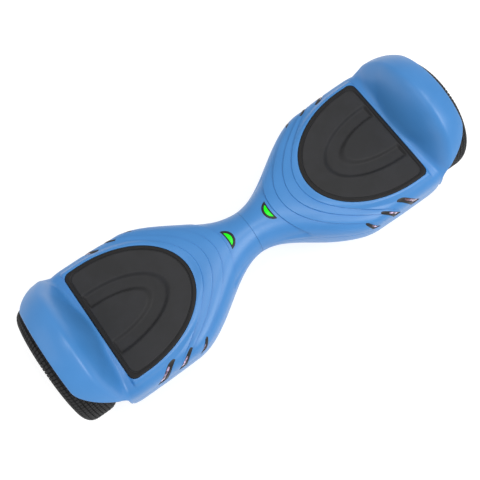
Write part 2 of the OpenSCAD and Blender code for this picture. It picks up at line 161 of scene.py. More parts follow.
def shellPiece(name, outside, inside):           # two grids with their edges joined all round
    shell = gridPiece(name, outside)
    lining = gridPiece(name + "_lining", inside)
    lining.data.flip_normals()
    makeActive(shell)
    lining.select_set(True)
    bpy.ops.object.join()
    bpy.ops.object.mode_set(mode="EDIT")
    bpy.ops.mesh.select_mode(type="EDGE")
    bpy.ops.mesh.select_all(action="DESELECT")
    bpy.ops.mesh.select_non_manifold()
    bpy.ops.mesh.bridge_edge_loops()
    bpy.ops.object.mode_set(mode="OBJECT")
    mergeAndTurnOut(shell, 0.000005)
    return shell


def ringPiece(name, rings):          # rings of places, from one pole or edge to the other
    points = np.array(rings, dtype=float)
    piece = gridPiece(name, np.concatenate([points, points[:, :1]], axis=1))
    mergeAndTurnOut(piece, 0.000005)
    return piece


# the skin of a half body, in polar form about the axle line

def ease(t):
    s = np.clip(t, 0, 1)
    return s * s * (3 - 2 * s)


def mix(a, b, t):
    return a + (b - a) * t


def halfWidth(x):
    late = body["lateFlare"]
    spread = body["halfWidth"] - late - body["neck"]
    corner = np.maximum(0, x - body["end"] + body["cornerLength"]) / body["cornerLength"]
    return (body["neck"] + spread * ease(x / body["flareLength"]) + late * ease((x - 100) / 90)
            - body["cornerCut"] * corner ** 2)


def superRadius(angle, width, height, power):
    a = np.abs(np.sin(angle)) / width
    b = np.abs(np.cos(angle)) / height
    return (a ** power + b ** power) ** (-1 / power)


def fenderProfile(x, angle):
    start, crest, end = body["fenderStart"], body["fenderCrest"], body["fenderEnd"]
    early = body["sideRise"] * ease((np.degrees(np.abs(angle)) - 40) / 35)
    share = np.clip((x + early - start) / (crest - start), -1, 1)
    rising = mix(body["deckRise"] - 6, body["fenderRadius"], np.sin(share * math.pi / 2))
    falling = body["fenderRadius"] - body["fenderDrop"] * ((x - crest) / (end - crest)) ** 2
    return np.where(share < 0, 0, np.where(x < crest, rising, falling))


def softMax(p, q, k):
    h = np.maximum(k - np.abs(p - q), 0) / k
    return np.maximum(p, q) + h * h * k / 4


def deckShape(x):                    # width, height and squareness of the deck's section
    square = mix(ease(x / body["roundLength"]),
                 ease((x - body["squareStart"]) / body["squareLength"]), 0.75)
    return (halfWidth(np.minimum(x, body["end"])),
            mix(body["neck"], body["deckRise"], ease(x / body["deckStart"])),
            mix(2, body["deckSquare"], square))


def topRadius(x, angle):
    return softMax(superRadius(angle, *deckShape(x)), fenderProfile(x, angle), 12)


def bellyRadius(x, angle):
    flat = ease(x / body["deckStart"])
    return superRadius(angle, halfWidth(x), mix(body["neck"], body["bellyDrop"], flat),
                       mix(2, body["bellySquare"], flat))


def rimX(angle):                     # the fender's rim, over the tyre and down beside it
    return mix(body["fenderEnd"], body["end"], ease((np.degrees(np.abs(angle)) - 38) / 42))


def polarPoints(x, radius, angle):
    return np.stack([x, -radius * np.sin(angle), axleHeight + radius * np.cos(angle)], axis=-1)


def deckHeight(x, y):                # height of the deck over a place in plan
    width, height, power = deckShape(x)
    return axleHeight + height * (1 - np.minimum(np.abs(y) / width, 0.999) ** power) ** (1 / power)


def sideReach(x, z):                 # how far the side reaches at a height
    width, height, power = deckShape(x)
    return width * (1 - np.minimum(np.abs(z - axleHeight) / height, 0.999) ** power) ** (1 / power)


def evenAngles(x, count, radiusAt, low, high):   # angles that space points evenly on a section
    fine = np.linspace(low, high, 4000)
    path = polarPoints(np.full_like(fine, x), radiusAt(x, fine), fine)
    steps = np.linalg.norm(np.diff(path, axis=0), axis=1)
    run = np.concatenate([[0], np.cumsum(steps)])
    return np.interp(np.linspace(0, run[-1], count), run, fine)


pad = {
    "nose": padLow[0],
    "edge": padHigh[0],
    "half": padHigh[1],
    "roundX": 200,                   # where the round side meets the straight flanks
    "corner": 9,
    "seat": 114.1,                   # height of the cover around the pad
    "seatWidth": 1.5,                # how far out that height holds
    "seatFade": 7,                   # and over what width it runs into the deck
}


def padDistance(x, y):               # rough distance outside the pad's outline, in plan
    long = pad["roundX"] - pad["nose"]
    across = np.abs(y) / pad["half"]
    along = np.maximum(pad["roundX"] - x, 0) / long
    return (np.sqrt(across ** 2 + along ** 2) - 1) * pad["half"]


terraces = {
    "rings": [(36, 1.7), (50, 1.3), (65, 1.3), (79, 1.2)],   # place on the centre line, step
    "bend": ([0, 36, 50, 65, 79, 222], [0, 0.0084, 0.0105, 0.0108, 0.0104, 0]),
    "edge": 0.45,                    # half the width of a step
    "flank": 0.5,                    # how much deeper the steps get towards the sides
    "start": 8,                      # where the first terrace starts to sink
    "widest": 98,                    # wider than any row, where the search for it starts
}


def rowPlaces():                     # rows of the skin on the centre line, closer at a step
    places = {body["seam"] + step for step in (0, 0.15, 0.35, 0.6)}
    places |= set(np.round(np.linspace(body["seam"] + 1.2, 20, 11), 3))
    places |= set(np.round(np.arange(22, 120, 1.5), 3))
    places |= set(np.round(np.arange(120, body["fenderStart"] + 0.1, 2.0), 3))
    for ring, step in terraces["rings"]:
        places = {p for p in places if abs(p - ring) > 1.4}
        places |= {ring - 1.2, ring - terraces["edge"], ring + terraces["edge"], ring + 1.2}
    return np.array(sorted(places))


def terraceDrop(place):              # each terrace sinks towards the next, like a shingle
    drop = np.zeros_like(place)
    previous = terraces["start"]
    for ring, step in terraces["rings"]:
        inside = (place > previous) & (place < ring)
        share = np.clip((place - previous) / (ring - previous), 0, 1)
        drop = np.where(inside, step * share ** 1.5, drop)
        previous = ring
    return drop


def terraceFade(angle):              # steps deepen down the flank, and end at the side
    degrees = np.degrees(angle)
    return (1 + terraces["flank"] * ease(degrees / 70)) * (1 - ease((degrees - 74) / 10))


def skinNormals(points):
    along = np.gradient(points, axis=0)
    across = np.gradient(points, axis=1)
    normal = np.cross(across, along)
    return normal / np.maximum(np.linalg.norm(normal, axis=-1, keepdims=True), 1e-9)


def roundedEdge(distance, size):     # how far a round edge falls back, from its distance
    t = 1 - np.clip(distance / size, 0, 1)
    return size * (1 - np.sqrt(1 - t * t))


def sectionAngles(radiusAt, low, high, columns):
    angles = evenAngles(body["evenAt"], columns, radiusAt, low, high)
    close = np.array([0.2, 0.5]) / body["halfWidth"]
    return np.sort(np.concatenate([angles, low + close, high - close]))


def topSkin(outside):
    angles = sectionAngles(topRadius, -math.pi / 2, math.pi / 2, 157)
    place, angle = np.meshgrid(rowPlaces(), angles, indexing="ij")
    bend = np.interp(place, *terraces["bend"])
    low, high = place.copy(), np.minimum(place + bend * terraces["widest"] ** 2, body["fenderStart"])
    for step in range(28):           # where the bent row crosses each angle
        middle = (low + high) / 2
        y = topRadius(middle, angle) * np.sin(angle)
        short = place + bend * y ** 2 > middle
        low, high = np.where(short, middle, low), np.where(short, high, middle)
    x = np.where(bend > 1e-6, (low + high) / 2, place)
    deck = polarPoints(x, topRadius(x, angle), angle)
    near = 1 - ease((padDistance(deck[..., 0], deck[..., 1]) - pad["seatWidth"]) / pad["seatFade"])
    near *= 1 - ease((deck[..., 0] - pad["edge"] + 1) / 3)
    deck[..., 2] = mix(deck[..., 2], pad["seat"], near)
    drop = terraceDrop(place) * terraceFade(np.abs(angle))
    share = np.concatenate([np.linspace(0.02, 0.62, 40), np.linspace(0.64, 1, 14), np.ones(4)])
    back = np.concatenate([np.full(54, body["lip"]), body["lip"] * np.array([0.6, 0.3, 0.1, 0])])
    share, angle = np.meshgrid(share, angles, indexing="ij")
    x = mix(body["fenderStart"], rimX(angle) - back[:, None], share)
    fender = polarPoints(x, topRadius(x, angle), angle)
    points = np.concatenate([deck, fender])
    if not outside:
        return points - skinNormals(points) * body["wall"]
    lip = np.concatenate([np.full(len(deck), body["lip"]), back])[:, None]
    sink = np.concatenate([drop, 0 * angle])
    sink = np.maximum(sink, roundedEdge(points[..., 0] - body["seam"], 0.2))
    sink = np.maximum(sink, roundedEdge(points[..., 2] - axleHeight, 0.5))
    sink = np.maximum(sink, roundedEdge(lip, body["lip"]))
    return points - skinNormals(points) * sink[..., None]


def padOutline(grow, steps=24):      # the pad's plan outline, anticlockwise from the nose
    long = pad["roundX"] - pad["nose"] + grow
    short = pad["half"] + grow
    edge = pad["edge"] + grow
    r = pad["corner"]
    points = []
    for a in np.linspace(0, math.pi / 2, steps):
        points.append((pad["roundX"] - long * math.cos(a), -short * math.sin(a)))
    for a in np.linspace(-math.pi / 2, 0, 7):
        points.append((edge - r + r * math.cos(a), r - short + r * math.sin(a)))
    half = len(points)
    for x, y in reversed(points[1:half]):
        points.append((x, -y))
    return points


def prism(name, outline, low, high, axis="Z"):   # an outline pulled straight between two levels
    place = {"X": lambda a, b: (low, a, b), "Y": lambda a, b: (a, low, b),
             "Z": lambda a, b: (a, b, low)}[axis]
    deselectAll()
    bpy.ops.mesh.primitive_circle_add(vertices=len(outline), fill_type="NGON")
    piece = bpy.context.object
    piece.name = name
    for vertex, (a, b) in zip(piece.data.vertices, outline):
        vertex.co = Vector(place(a, b)) * mm
    pull = Vector([(high - low) * mm * (axis == letter) for letter in "XYZ"])
    editAll(piece,
            lambda: bpy.ops.mesh.extrude_region_move(TRANSFORM_OT_translate={"value": pull}),
            lambda: bpy.ops.mesh.select_all(action="SELECT"),
            lambda: bpy.ops.mesh.normals_make_consistent(inside=False))
    return piece


claws = {
    "tipShare": 0.3,                 # share of the slot's length that its frame fills at the tip
    "lean": 0.3,                     # how far the window keeps from the centre edge
    "frame": 0.75,                   # width of the frame at the other edges
    # each slot's two edges: X and height above the axle of their start, middle and end
    "inner": [[(118.9, 17.6), (124, 9.8), (127, 4)], [(140, 22.8), (152.5, 14), (157, 4)],
              [(165.2, 25.6), (177, 18.5), (185.5, 4)]],
    "outer": [[(121.7, 19), (130.2, 12.5), (138.5, 4)], [(142.6, 24.4), (158, 17.8), (170, 4)],
              [(167.6, 27.3), (184, 22.5), (200.5, 4)]],
}


def throughThree(places, shares):    # a smooth curve through a start, a middle and an end
    first, middle, last = np.array(places)
    t = np.array(shares)[:, None]
    return first * (1 - t) * (1 - 2 * t) + middle * 4 * t * (1 - t) + last * t * (2 * t - 1)


def grown(outline, distance):        # an outline moved outwards by a distance
    points = np.array(outline)
    before, after = np.roll(points, 1, axis=0), np.roll(points, -1, axis=0)
    turned = []
    for a, b, c in zip(before, points, after):
        first, second = (b - a) / np.linalg.norm(b - a), (c - b) / np.linalg.norm(c - b)
        out = np.array([first[1] + second[1], -first[0] - second[0]])
        turned.append(b + out * distance / max(1 + first @ second, 0.4))
    return turned


def clawOutline(index, grow, tipShare=0, lean=0):    # one claw slot as X and Z, with blunt ends
    shares = np.linspace(tipShare, 1, 12)
    up = throughThree(claws["outer"][index], shares)
    down = mix(throughThree(claws["inner"][index], shares), up, lean)
    up = up[::-1]
    points = []
    for edge, other in ((down, up), (up, down)):
        start, first = edge[0], edge[1]
        end, last = edge[-1], edge[-2]
        points.append(start + (other[-1] - start) * 0.18)
        points.append(start + (first - start) * 0.35)
        points += list(edge[1:-1])
        points.append(end + (last - end) * 0.35)
        points.append(end + (other[0] - end) * 0.18)
    return [(x, axleHeight + z) for x, z in grown(points, grow)]


status = {
    "centre": 36.5,
    "radius": 13.8,
    "flat": 34,                      # the straight side, towards the pad
    "hollow": 60,                    # radius of the slight hollow in that side
    "frame": 3.1,                    # width of the frame round the window
    "flatFrame": 2.5,
}


def statusOutline(grow, growFlat, steps=28):     # half round, its outboard side a little hollow
    r = status["radius"] + grow
    flat = status["flat"] + growFlat
    half = math.acos((status["centre"] - flat) / r)
    points = []
    for a in np.linspace(-half, half, steps):
        points.append((status["centre"] - r * math.cos(a), -r * math.sin(a)))
    tip = abs(points[0][1])
    big = status["hollow"]
    for y in np.linspace(-tip, tip, steps)[1:-1]:
        hollow = math.sqrt(big ** 2 - y ** 2) - math.sqrt(big ** 2 - tip ** 2)
        points.append((flat - hollow, y))
    return points


def endWall(angles, radiusAt, low, high, lift):  # closes a cover beside the wheel
    outline = [(-(radiusAt(low, a) - 1.2) * math.sin(a),
                axleHeight + lift + (radiusAt(low, a) - 1.2) * math.cos(a)) for a in angles]
    turn = np.linspace(angles[-1], angles[0], 24)
    outline += [(-body["hubHole"] * math.sin(a), axleHeight + lift + body["hubHole"] * math.cos(a))
                for a in turn]
    return prism("end_wall", outline, low, high, "X")


def topCover():
    cover = shellPiece("cover_top_right", topSkin(True), topSkin(False))
    wallX = body["end"] - 1 - body["wall"]
    wall = endWall(np.radians(np.linspace(-89.9, 89.9, 49)), topRadius, wallX,
                   wallX + body["wall"], 0)
    cutAway(cover, wall, "end wall", "UNION")
    low, high = [axleHeight + level for level in body["deckCut"]]
    cutAway(cover, prism("pad_cut", padOutline(0.6), low, high), "pad hole")
    cutAway(cover, prism("status_cut", statusOutline(0, 0), low, high), "status hole")
    near, far = body["flankCut"]
    for index in range(3):
        for low, high in ((-far, -near), (near, far)):
            cutAway(cover, prism("claw_cut", clawOutline(index, 0), low, high, "Y"), "claw hole")
    smoothByAngle(cover, 40)
    return cover


coverRight = topCover()
coverLeft = mirrorPiece(coverRight, "cover_top_left")
print("top covers", len(coverRight.data.polygons))
for piece, side in ((coverRight, "right"), (coverLeft, "left")):
    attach(piece, side + "_half")
    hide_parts("top_cover_" + side)


# bottom covers

belly = {
    "edgeRound": 3,                  # where the underside turns up beside the wheel
    "panel": (120, 200, 42),         # sunk panel, from X to X and half its width
    "panelDepth": 1.2,
    "ribs": (-28, -14, 0, 14, 28),   # raised ribs along the panel
    "fixings": [(112, 52), (208, 58)],
    "boss": 6,                       # radii of a screw's boss, its head's hole and its shank's hole
    "head": 4.3,
    "shank": 2.2,
    "gap": 0.3,                      # between the top and bottom covers
}


def panelSink(x, y):                 # a shallow panel with ribs along it, under the battery
    low, high, half = belly["panel"]
    inside = ease((x - low) / 2.5) * ease((high - x) / 2.5) * ease((half - np.abs(y)) / 2.5)
    ribs = sum(np.clip(1.6 - np.abs(y - rib) / 1.6, 0, 1) for rib in belly["ribs"])
    ends = ease((x - low - 6) / 3) * ease((high - 6 - x) / 3)
    return belly["panelDepth"] * inside * (1 - 0.8 * ribs * ends)


def bellySkin(outside):
    inset = 0 if outside else body["wall"]
    angles = sectionAngles(bellyRadius, math.pi / 2, math.pi * 1.5, 141)
    end = body["end"] - inset
    turn = belly["edgeRound"] if outside else 1
    seamRows = body["seam"] + np.array([0, 0.15, 0.35, 0.6])
    rows = np.concatenate([seamRows, np.linspace(2.5, end - 20, 112),
                           np.linspace(end - 18, end - turn, 10)])
    x, angle = np.meshgrid(rows, angles, indexing="ij")
    skin = polarPoints(x, bellyRadius(x, angle) - inset, angle)
    skin[..., 2] -= belly["gap"]
    if outside:
        down = ease((-np.cos(angle) - 0.55) / 0.2)
        skin[..., 2] += panelSink(x, skin[..., 1]) * down
        sink = roundedEdge(x - body["seam"], 0.35)
        sink = np.maximum(sink, roundedEdge(axleHeight - belly["gap"] - skin[..., 2], 0.5))
        skin -= skinNormals(skin) * sink[..., None]
    steps, angle = np.meshgrid(np.radians([22.5, 45, 67.5, 90]), angles, indexing="ij")
    x = end - turn + turn * np.sin(steps)
    corner = polarPoints(x, bellyRadius(x, angle) - inset - turn * (1 - np.cos(steps)), angle)
    share, angle = np.meshgrid(np.linspace(0, 1, 9)[1:], angles, indexing="ij")
    edge = bellyRadius(end + 0 * share, angle) - inset - turn
    face = polarPoints(end + 0 * share, mix(edge, body["hubHole"], share), angle)
    corner[..., 2] -= belly["gap"]
    face[..., 2] -= belly["gap"]
    return np.concatenate([skin, corner, face])


def disc(x, y, r, count=40):
    return [(x + r * math.cos(a), y + r * math.sin(a))
            for a in np.linspace(0, 2 * math.pi, count, endpoint=False)]


def bottomCover():
    cover = shellPiece("cover_bottom_right", bellySkin(True), bellySkin(False))
    z = bellyLow[2]
    fixings = [(x, side * y) for x, y in belly["fixings"] for side in (-1, 1)]
    for x, y in fixings:
        cutAway(cover, prism("boss", disc(x, y, belly["boss"]), z + 1.4, z + 30), "boss", "UNION")
    for x, y in fixings:
        cutAway(cover, prism("head_cut", disc(x, y, belly["head"]), z - 5, z + 11), "head hole")
        shank = prism("shank_cut", disc(x, y, belly["shank"], 24), z + 5, z + 45)
        cutAway(cover, shank, "shank hole")
    return cover


bottomRight = bottomCover()
bottomLeft = mirrorPiece(bottomRight, "cover_bottom_left")
ringLow, ringHigh = boxOf("button_ring")
socketLow, socketHigh = boxOf("charging_socket")
for low, high in ((ringLow, ringHigh), (socketLow, socketHigh)):
    port = disc((low[0] + high[0]) / 2, (low[1] + high[1]) / 2, (high[0] - low[0]) / 2 + 0.1, 64)
    cutAway(bottomRight, prism("port_cut", port, low[2] - 5, low[2] + 12), "port hole")
print("bottom covers", len(bottomRight.data.polygons))
for piece, side in ((bottomRight, "right"), (bottomLeft, "left")):
    smoothByAngle(piece, 40)
    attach(piece, side + "_half")
    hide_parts("bottom_cover_" + side)


# foot mats

footMat = {
    "rim": 4.2,                      # width of the raised rim
    "groove": 1.5,                   # groove inside the rim
    "grooveDepth": 1.5,
    "field": 0.35,                   # the middle sits this far below the rim
    "outer": (124, 42),              # nose and half width of the channel's outer curve
    "inner": (147, 25),
    "flank": 208,                    # where both curves run straight to the flat edge
    "depth": 4,
    "slope": 4.4,
}


def evenly(outline, count):          # a closed outline with its points evenly spaced
    points = np.array(outline + outline[:1])
    run = np.concatenate([[0], np.cumsum(np.linalg.norm(np.diff(points, axis=0), axis=1))])
    places = np.linspace(0, run[-1], count, endpoint=False)
    return np.stack([np.interp(places, run, points[:, 0]), np.interp(places, run, points[:, 1])], 1)


def channelSide(x, y, nose, half):   # distance outside one of the channel's curves
    along = np.maximum(footMat["flank"] - x, 0) / (footMat["flank"] - nose)
    return (np.sqrt(along ** 2 + (y / half) ** 2) - 1) * half


def matTop(x, y, inward):            # height of the mat's top at a distance inside its outline
    slope = footMat["slope"]
    channel = ease((slope / 2 - channelSide(x, y, *footMat["outer"])) / slope)
    channel *= ease((slope / 2 + channelSide(x, y, *footMat["inner"])) / slope)
    rim, groove = footMat["rim"], footMat["groove"]
    middle = rim + groove / 2
    cut = footMat["grooveDepth"] * (1 - ease((np.abs(inward - middle) - groove * 0.3) / 0.5))
    field = footMat["field"] * ease((inward - middle) / 0.8)
    channel *= footMat["depth"] * ease((inward - rim - groove) / 3)
    return padHigh[2] - np.maximum(cut, field + channel) - roundedEdge(inward, 1.4)


def footMatPiece():
    count = 250
    centre = np.array([(pad["roundX"] + pad["nose"]) / 2 + 12, 0])
    insets = [0, 0.1, 0.35, 0.8, 1.4, 2.4, 3.4, 3.8, 4.2, 4.6, 4.9, 5.3, 5.7, 6.1, 6.6, 7.4, 8.6, 10]
    plan = evenly(padOutline(0, 60), count)
    rings = [[(*centre, padLow[2])] * count]
    for share in (0.5, 1):
        rings.append([(*(centre + (point - centre) * share), padLow[2]) for point in plan])
    for inset in insets:
        ring = evenly(padOutline(-inset, 60), count)
        rings.append([(x, y, matTop(x, y, inset)) for x, y in ring])
    inner = evenly(padOutline(-insets[-1], 60), count)
    for share in np.linspace(1, 0, 62)[1:]:
        ring = centre + (inner - centre) * share
        rings.append([(x, y, matTop(x, y, insets[-1] + 30 * (1 - share))) for x, y in ring])
    mat = ringPiece("foot_mat_right", rings)
    smoothByAngle(mat, 50)
    return mat


matRight = footMatPiece()
matLeft = mirrorPiece(matRight, "foot_mat_left")
print("foot mats", len(matRight.data.polygons))
for piece, side in ((matRight, "right"), (matLeft, "left")):
    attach(piece, side + "_pad")
    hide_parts("foot_pad_" + side)


# status lights and claw lights

def rowPlace(x, y):                  # which terrace row passes over a place in plan
    place = x
    for step in range(4):
        place = x - np.interp(place, *terraces["bend"]) * y * y
    return place


def onDeck(x, y, depth):
    drop = terraceDrop(np.array([rowPlace(x, y)]))[0]
    return (x, y, float(deckHeight(x, y)) - drop - depth)


def onSide(side):                    # places on the front or back side, from X and Z
    def place(x, z, depth):
        y = float(sideReach(x, z))
        fade = float(terraceFade(math.atan2(y, z - axleHeight)))
        drop = terraceDrop(np.array([rowPlace(x, y)]))[0] * fade * 0.8
        return (x, side * (y - drop - depth), z)
    return place


def framePiece(name, outer, inner, surface, top, bottom):    # a thin frame set in the skin
    edge = top + 0.25
    rings = []
    for share, depth in ((0, bottom), (0, edge), (0.25, top), (0.75, top), (1, edge), (1, bottom)):
        rings.append([surface(mix(a, c, share), mix(b, d, share), depth)
                      for (a, b), (c, d) in zip(outer, inner)])
    return ringPiece(name, rings + rings[:1])


def lensPiece(name, outline, surface, rim, crown, bottom):   # a domed window
    centre = np.mean(outline, axis=0)
    sections = [(share, bottom) for share in (0, 0.5, 1)]
    sections += [(share, rim - crown * (1 - share ** 2) + 0.3 * (share == 1))
                 for share in (1, 0.97, 0.9, 0.8, 0.65, 0.5, 0.3, 0)]
    piece = ringPiece(name, [[surface(*(centre + (np.array(p) - centre) * share), depth)
                              for p in outline] for share, depth in sections])
    smoothByAngle(piece, 50)
    return piece


def joinAll(pieces, name):
    makeActive(pieces[0])
    for piece in pieces[1:]:
        piece.select_set(True)
    bpy.ops.object.join()
    pieces[0].name = name
    pieces[0].data.name = name
    return pieces[0]


frameWidth, flatFrame = status["frame"], status["flatFrame"]
statusFrame = framePiece("status_frame_right", statusOutline(-0.1, -0.1),
                         statusOutline(-frameWidth, -flatFrame), onDeck, -0.35, 3)
statusWindow = lensPiece("status_window_right", statusOutline(-frameWidth - 0.1, -flatFrame - 0.1),
                         onDeck, 0.1, 0.5, 2.8)
frames, windows = [], []
for index in range(3):
    for side in (-1, 1):
        place = onSide(side)
        slot = clawOutline(index, -0.12)
        window = clawOutline(index, -claws["frame"], claws["tipShare"], claws["lean"])
        frames.append(framePiece("claw_frame", slot, window, place, 0.1, 3))
        lens = clawOutline(index, -claws["frame"] - 0.1, claws["tipShare"], claws["lean"])
        windows.append(lensPiece("claw_window", lens, place, 1.1, 0.5, 2.6))
clawFrames = joinAll(frames, "claw_frames_right")
clawWindows = joinAll(windows, "claw_windows_right")
print("lights", len(clawFrames.data.polygons), len(clawWindows.data.polygons))
for piece, node, slotName in ((statusFrame, "status_bezel_", "black_plastic"),
                              (statusWindow, "status_lens_", "green_lens"),
                              (clawFrames, "claw_bezels_", "black_plastic"),
                              (clawWindows, "claw_lenses_", "clear_lens")):
    smoothByAngle(piece, 50)
    twin = mirrorPiece(piece, piece.name.replace("_right", "_left"))
    for copy, side in ((piece, "right"), (twin, "left")):
        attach(copy, side + "_half")
        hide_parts(node + side)


# wheels

tyre = {
    "inside": tyreLow[0],
    "outside": tyreHigh[0],
    "radius": tyreHigh[1],
    "bead": 58,
    "shoulder": 14,
    "treadDepth": 1.6,
    "blocksRound": 100,
    "blocksAcross": 4,               # on the flat of the tread, and as many on each shoulder
    "groove": 1.3,
}


def lathe(name, profile, steps, centre, axis="X"):   # rings of a profile of place and radius
    rings = []
    for place, radius in profile:
        turn = np.linspace(0, 2 * math.pi, steps, endpoint=False)
        circle = [centre[0] + radius * np.cos(turn), centre[1] + radius * np.sin(turn)]
        level = [np.full(steps, float(place))]
        rings.append(np.stack(level + circle if axis == "X" else circle + level, axis=1))
    return ringPiece(name, rings)


def shifted(start, profile):         # a profile moved along its axis
    return [(start + place, radius) for place, radius in profile]


def selectFaces(piece, test):        # selects the faces whose centre passes a test
    makeActive(piece)
    bpy.ops.object.mode_set(mode="EDIT")
    bpy.ops.mesh.select_mode(type="FACE")
    bpy.ops.mesh.select_all(action="DESELECT")
    bpy.ops.object.mode_set(mode="OBJECT")
    for face in piece.data.polygons:
        face.select = test(face.center / mm)
    bpy.ops.object.mode_set(mode="EDIT")


def fromAxle(point):                 # distance and turn of a place about the axle
    y, z = point.y, point.z - axleHeight
    return math.hypot(y, z), math.atan2(z, y)


def tyrePiece():
    low, high, r, bead = tyre["inside"], tyre["outside"], tyre["radius"], tyre["bead"]
    s, depth, across = tyre["shoulder"], tyre["treadDepth"], tyre["blocksAcross"]
    base = s - depth
    wall = [(0, bead + 4), (0.6, bead + 4.6), (0.6, bead + 5.4), (0, bead + 6)]
    inner = [(low + 4, bead), (low + 1.2, bead + 1.2)]
    inner += [(low + depth - 0.8 * (x > 0), rise) for x, rise in wall]
    inner += [(low + s - base * math.cos(a), r - s + base * math.sin(a))
              for a in np.linspace(0, math.pi / 2, across + 1)]
    flat = [(x, r - depth) for x in np.linspace(low + s, high - s, across + 1)[1:-1]]
    outer = [(low + high - x, rise) for x, rise in reversed(inner)]
    profile = inner + flat + outer + inner[:1]
    piece = lathe("tread_tyre_right", profile, tyre["blocksRound"], (0, axleHeight))
    selectFaces(piece, lambda c: fromAxle(c)[0] > r - s)
    bpy.ops.mesh.inset(thickness=tyre["groove"] / 2 * mm, depth=depth * mm, use_individual=True,
                       use_even_offset=True)
    bpy.ops.object.mode_set(mode="OBJECT")
    smoothByAngle(piece, 28)
    return piece


hub = {
    "steps": 120,
    "spokes": 6,
    "pocket": (27, 47),              # from radius to radius
    "pocketWidth": 0.62,             # share of a spoke's turn
    "pocketDepth": 1.4,
}


def hubPiece():
    low, high = boxOf("hub_cover_right")
    x = high[0] - 7
    face = [(6.2, 0), (6.2, 6), (6.3, 15), (6.3, 18.4), (5.7, 18.9), (5.7, 20.2), (6.9, 20.9),
            (7, 22), (6.8, 27), (6.5, 32), (6.1, 37), (5.6, 42), (5, 47), (4.4, 49.5), (3.6, 52),
            (2.4, 54.5), (1.2, 56.5), (0.6, 57.3), (0.4, 57.4)]
    back = [(0.4, 52.5), (-3, 52.5), (-3, 21), (-8, 21), (-8, 16), (1, 16), (1, 10), (4.4, 10),
            (4.4, 0)]
    piece = lathe("wheel_cap_right", shifted(x, face + back), hub["steps"], (0, axleHeight))
    inside, outside = hub["pocket"]
    share = 2 * math.pi / hub["spokes"]

    def inPocket(centre):
        radius, turn = fromAxle(centre)
        middle = abs((turn % share) - share / 2) < share * hub["pocketWidth"] / 2
        return inside < radius < outside and middle and centre.x > x + 4

    selectFaces(piece, inPocket)
    bpy.ops.mesh.inset(thickness=0.8 * mm, depth=0, use_even_offset=True)
    bpy.ops.mesh.inset(thickness=0.9 * mm, depth=-hub["pocketDepth"] * mm, use_even_offset=True)
    bpy.ops.object.mode_set(mode="OBJECT")
    smoothByAngle(piece, 30)
    return piece


for piece, node, slotName in ((tyrePiece(), "tyre_", "tyre_rubber"),
                              (hubPiece(), "hub_cover_", "hub_paint")):
    twin = mirrorPiece(piece, piece.name.replace("_right", "_left"))
    for copy, side in ((piece, "right"), (twin, "left")):
        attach(copy, side + "_wheel")
        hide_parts(node + side)
    print(piece.name, len(piece.data.polygons))


# button and charging port, under the right half

def portPieces():
    buttonLow, buttonHigh = boxOf("power_button")
    button = [(buttonLow[0] + buttonHigh[0]) / 2, (buttonLow[1] + buttonHigh[1]) / 2]
    capProfile = [(0.5, 0), (0.45, 3), (0.35, 5), (0.9, 5.3), (0.9, 6), (0.1, 6.4), (0, 7.4),
                  (0.15, 8.3), (0.6, 8.85), (1.2, 9), (6, 9), (6, 10.2), (8, 10.2), (8, 0)]
    cap = lathe("push_cap", shifted(buttonLow[2], capProfile), 72, button, "Z")
    collarProfile = [(14, 0), (14, 12), (0.8, 12), (0.2, 11.7), (0, 11.1), (0, 10), (0.3, 9.5),
                     (0.9, 9.3), (4.7, 9.3), (4.7, 10.8), (11.7, 10.8), (11.7, 0)]
    collar = lathe("push_collar", shifted(ringLow[2], collarProfile), 72, button, "Z")
    socket = [(socketLow[0] + socketHigh[0]) / 2, (socketLow[1] + socketHigh[1]) / 2]
    z = socketLow[2]
    portProfile = [(18, 0), (18, 11), (0.7, 11), (0.2, 10.8), (0, 10.4), (0, 8.6), (0.3, 8.15),
                   (0.9, 8), (11, 8), (11, 0)]
    pins = [lathe("charge_port", shifted(z, portProfile), 72, socket, "Z")]
    pinProfile = [(12, 0), (12, 1.1), (5.6, 1.1), (5.2, 0.8), (5, 0)]
    for turn in (90, 210, 330):
        x = socket[0] + 4 * math.cos(math.radians(turn))
        y = socket[1] + 4 * math.sin(math.radians(turn))
        pins.append(lathe("pin", shifted(z, pinProfile), 16, (x, y), "Z"))
    port = joinAll(pins, "charge_port")
    for piece, node, rider, slotName in ((cap, "power_button", "power_button", "button_metal"),
                                         (collar, "button_ring", "right_half", "black_plastic"),
                                         (port, "charging_socket", "right_half", "steel")):
        smoothByAngle(piece, 35)
        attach(piece, rider)
        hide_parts(node)


portPieces()
print("button and port")


# finishes

def linear(colour):                  # sRGB hex to the linear values that a socket takes
    shares = [int(colour[i:i + 2], 16) / 255 for i in (0, 2, 4)]
    return (*[v / 12.92 if v <= 0.04045 else ((v + 0.055) / 1.055) ** 2.4 for v in shares], 1)


def addNode(material, kind, inputs=None, **settings):
    node = material.node_tree.nodes.new("ShaderNode" + kind)
    for key, value in settings.items():
        setattr(node, key, value)
    for key, value in (inputs or {}).items():
        if isinstance(value, bpy.types.NodeSocket):
            material.node_tree.links.new(value, node.inputs[key])
        else:
            node.inputs[key].default_value = value
    return node


def newFinish(name, metallic=0, ior=1.5, **sockets):
    material = bpy.data.materials.new(name)
    material.use_nodes = True
    shader = material.node_tree.nodes["Principled BSDF"]
    shader.inputs["Metallic"].default_value = metallic
    shader.inputs["IOR"].default_value = ior
    for key, value in sockets.items():
        shader.inputs[key.replace("_", " ")].default_value = value
    return material, shader


def plug(material, value, shader, socket):
    material.node_tree.links.new(value, shader.inputs[socket])


def colourMix(material, share, first, second, **settings):
    return addNode(material, "MixRGB", {"Fac": share, "Color1": first, "Color2": second},
                   **settings).outputs["Color"]


def rangeMap(material, value, low, high, first=0, last=1):
    return addNode(material, "MapRange", {"Value": value, "From Min": low, "From Max": high,
                                          "To Min": first, "To Max": last}).outputs["Result"]


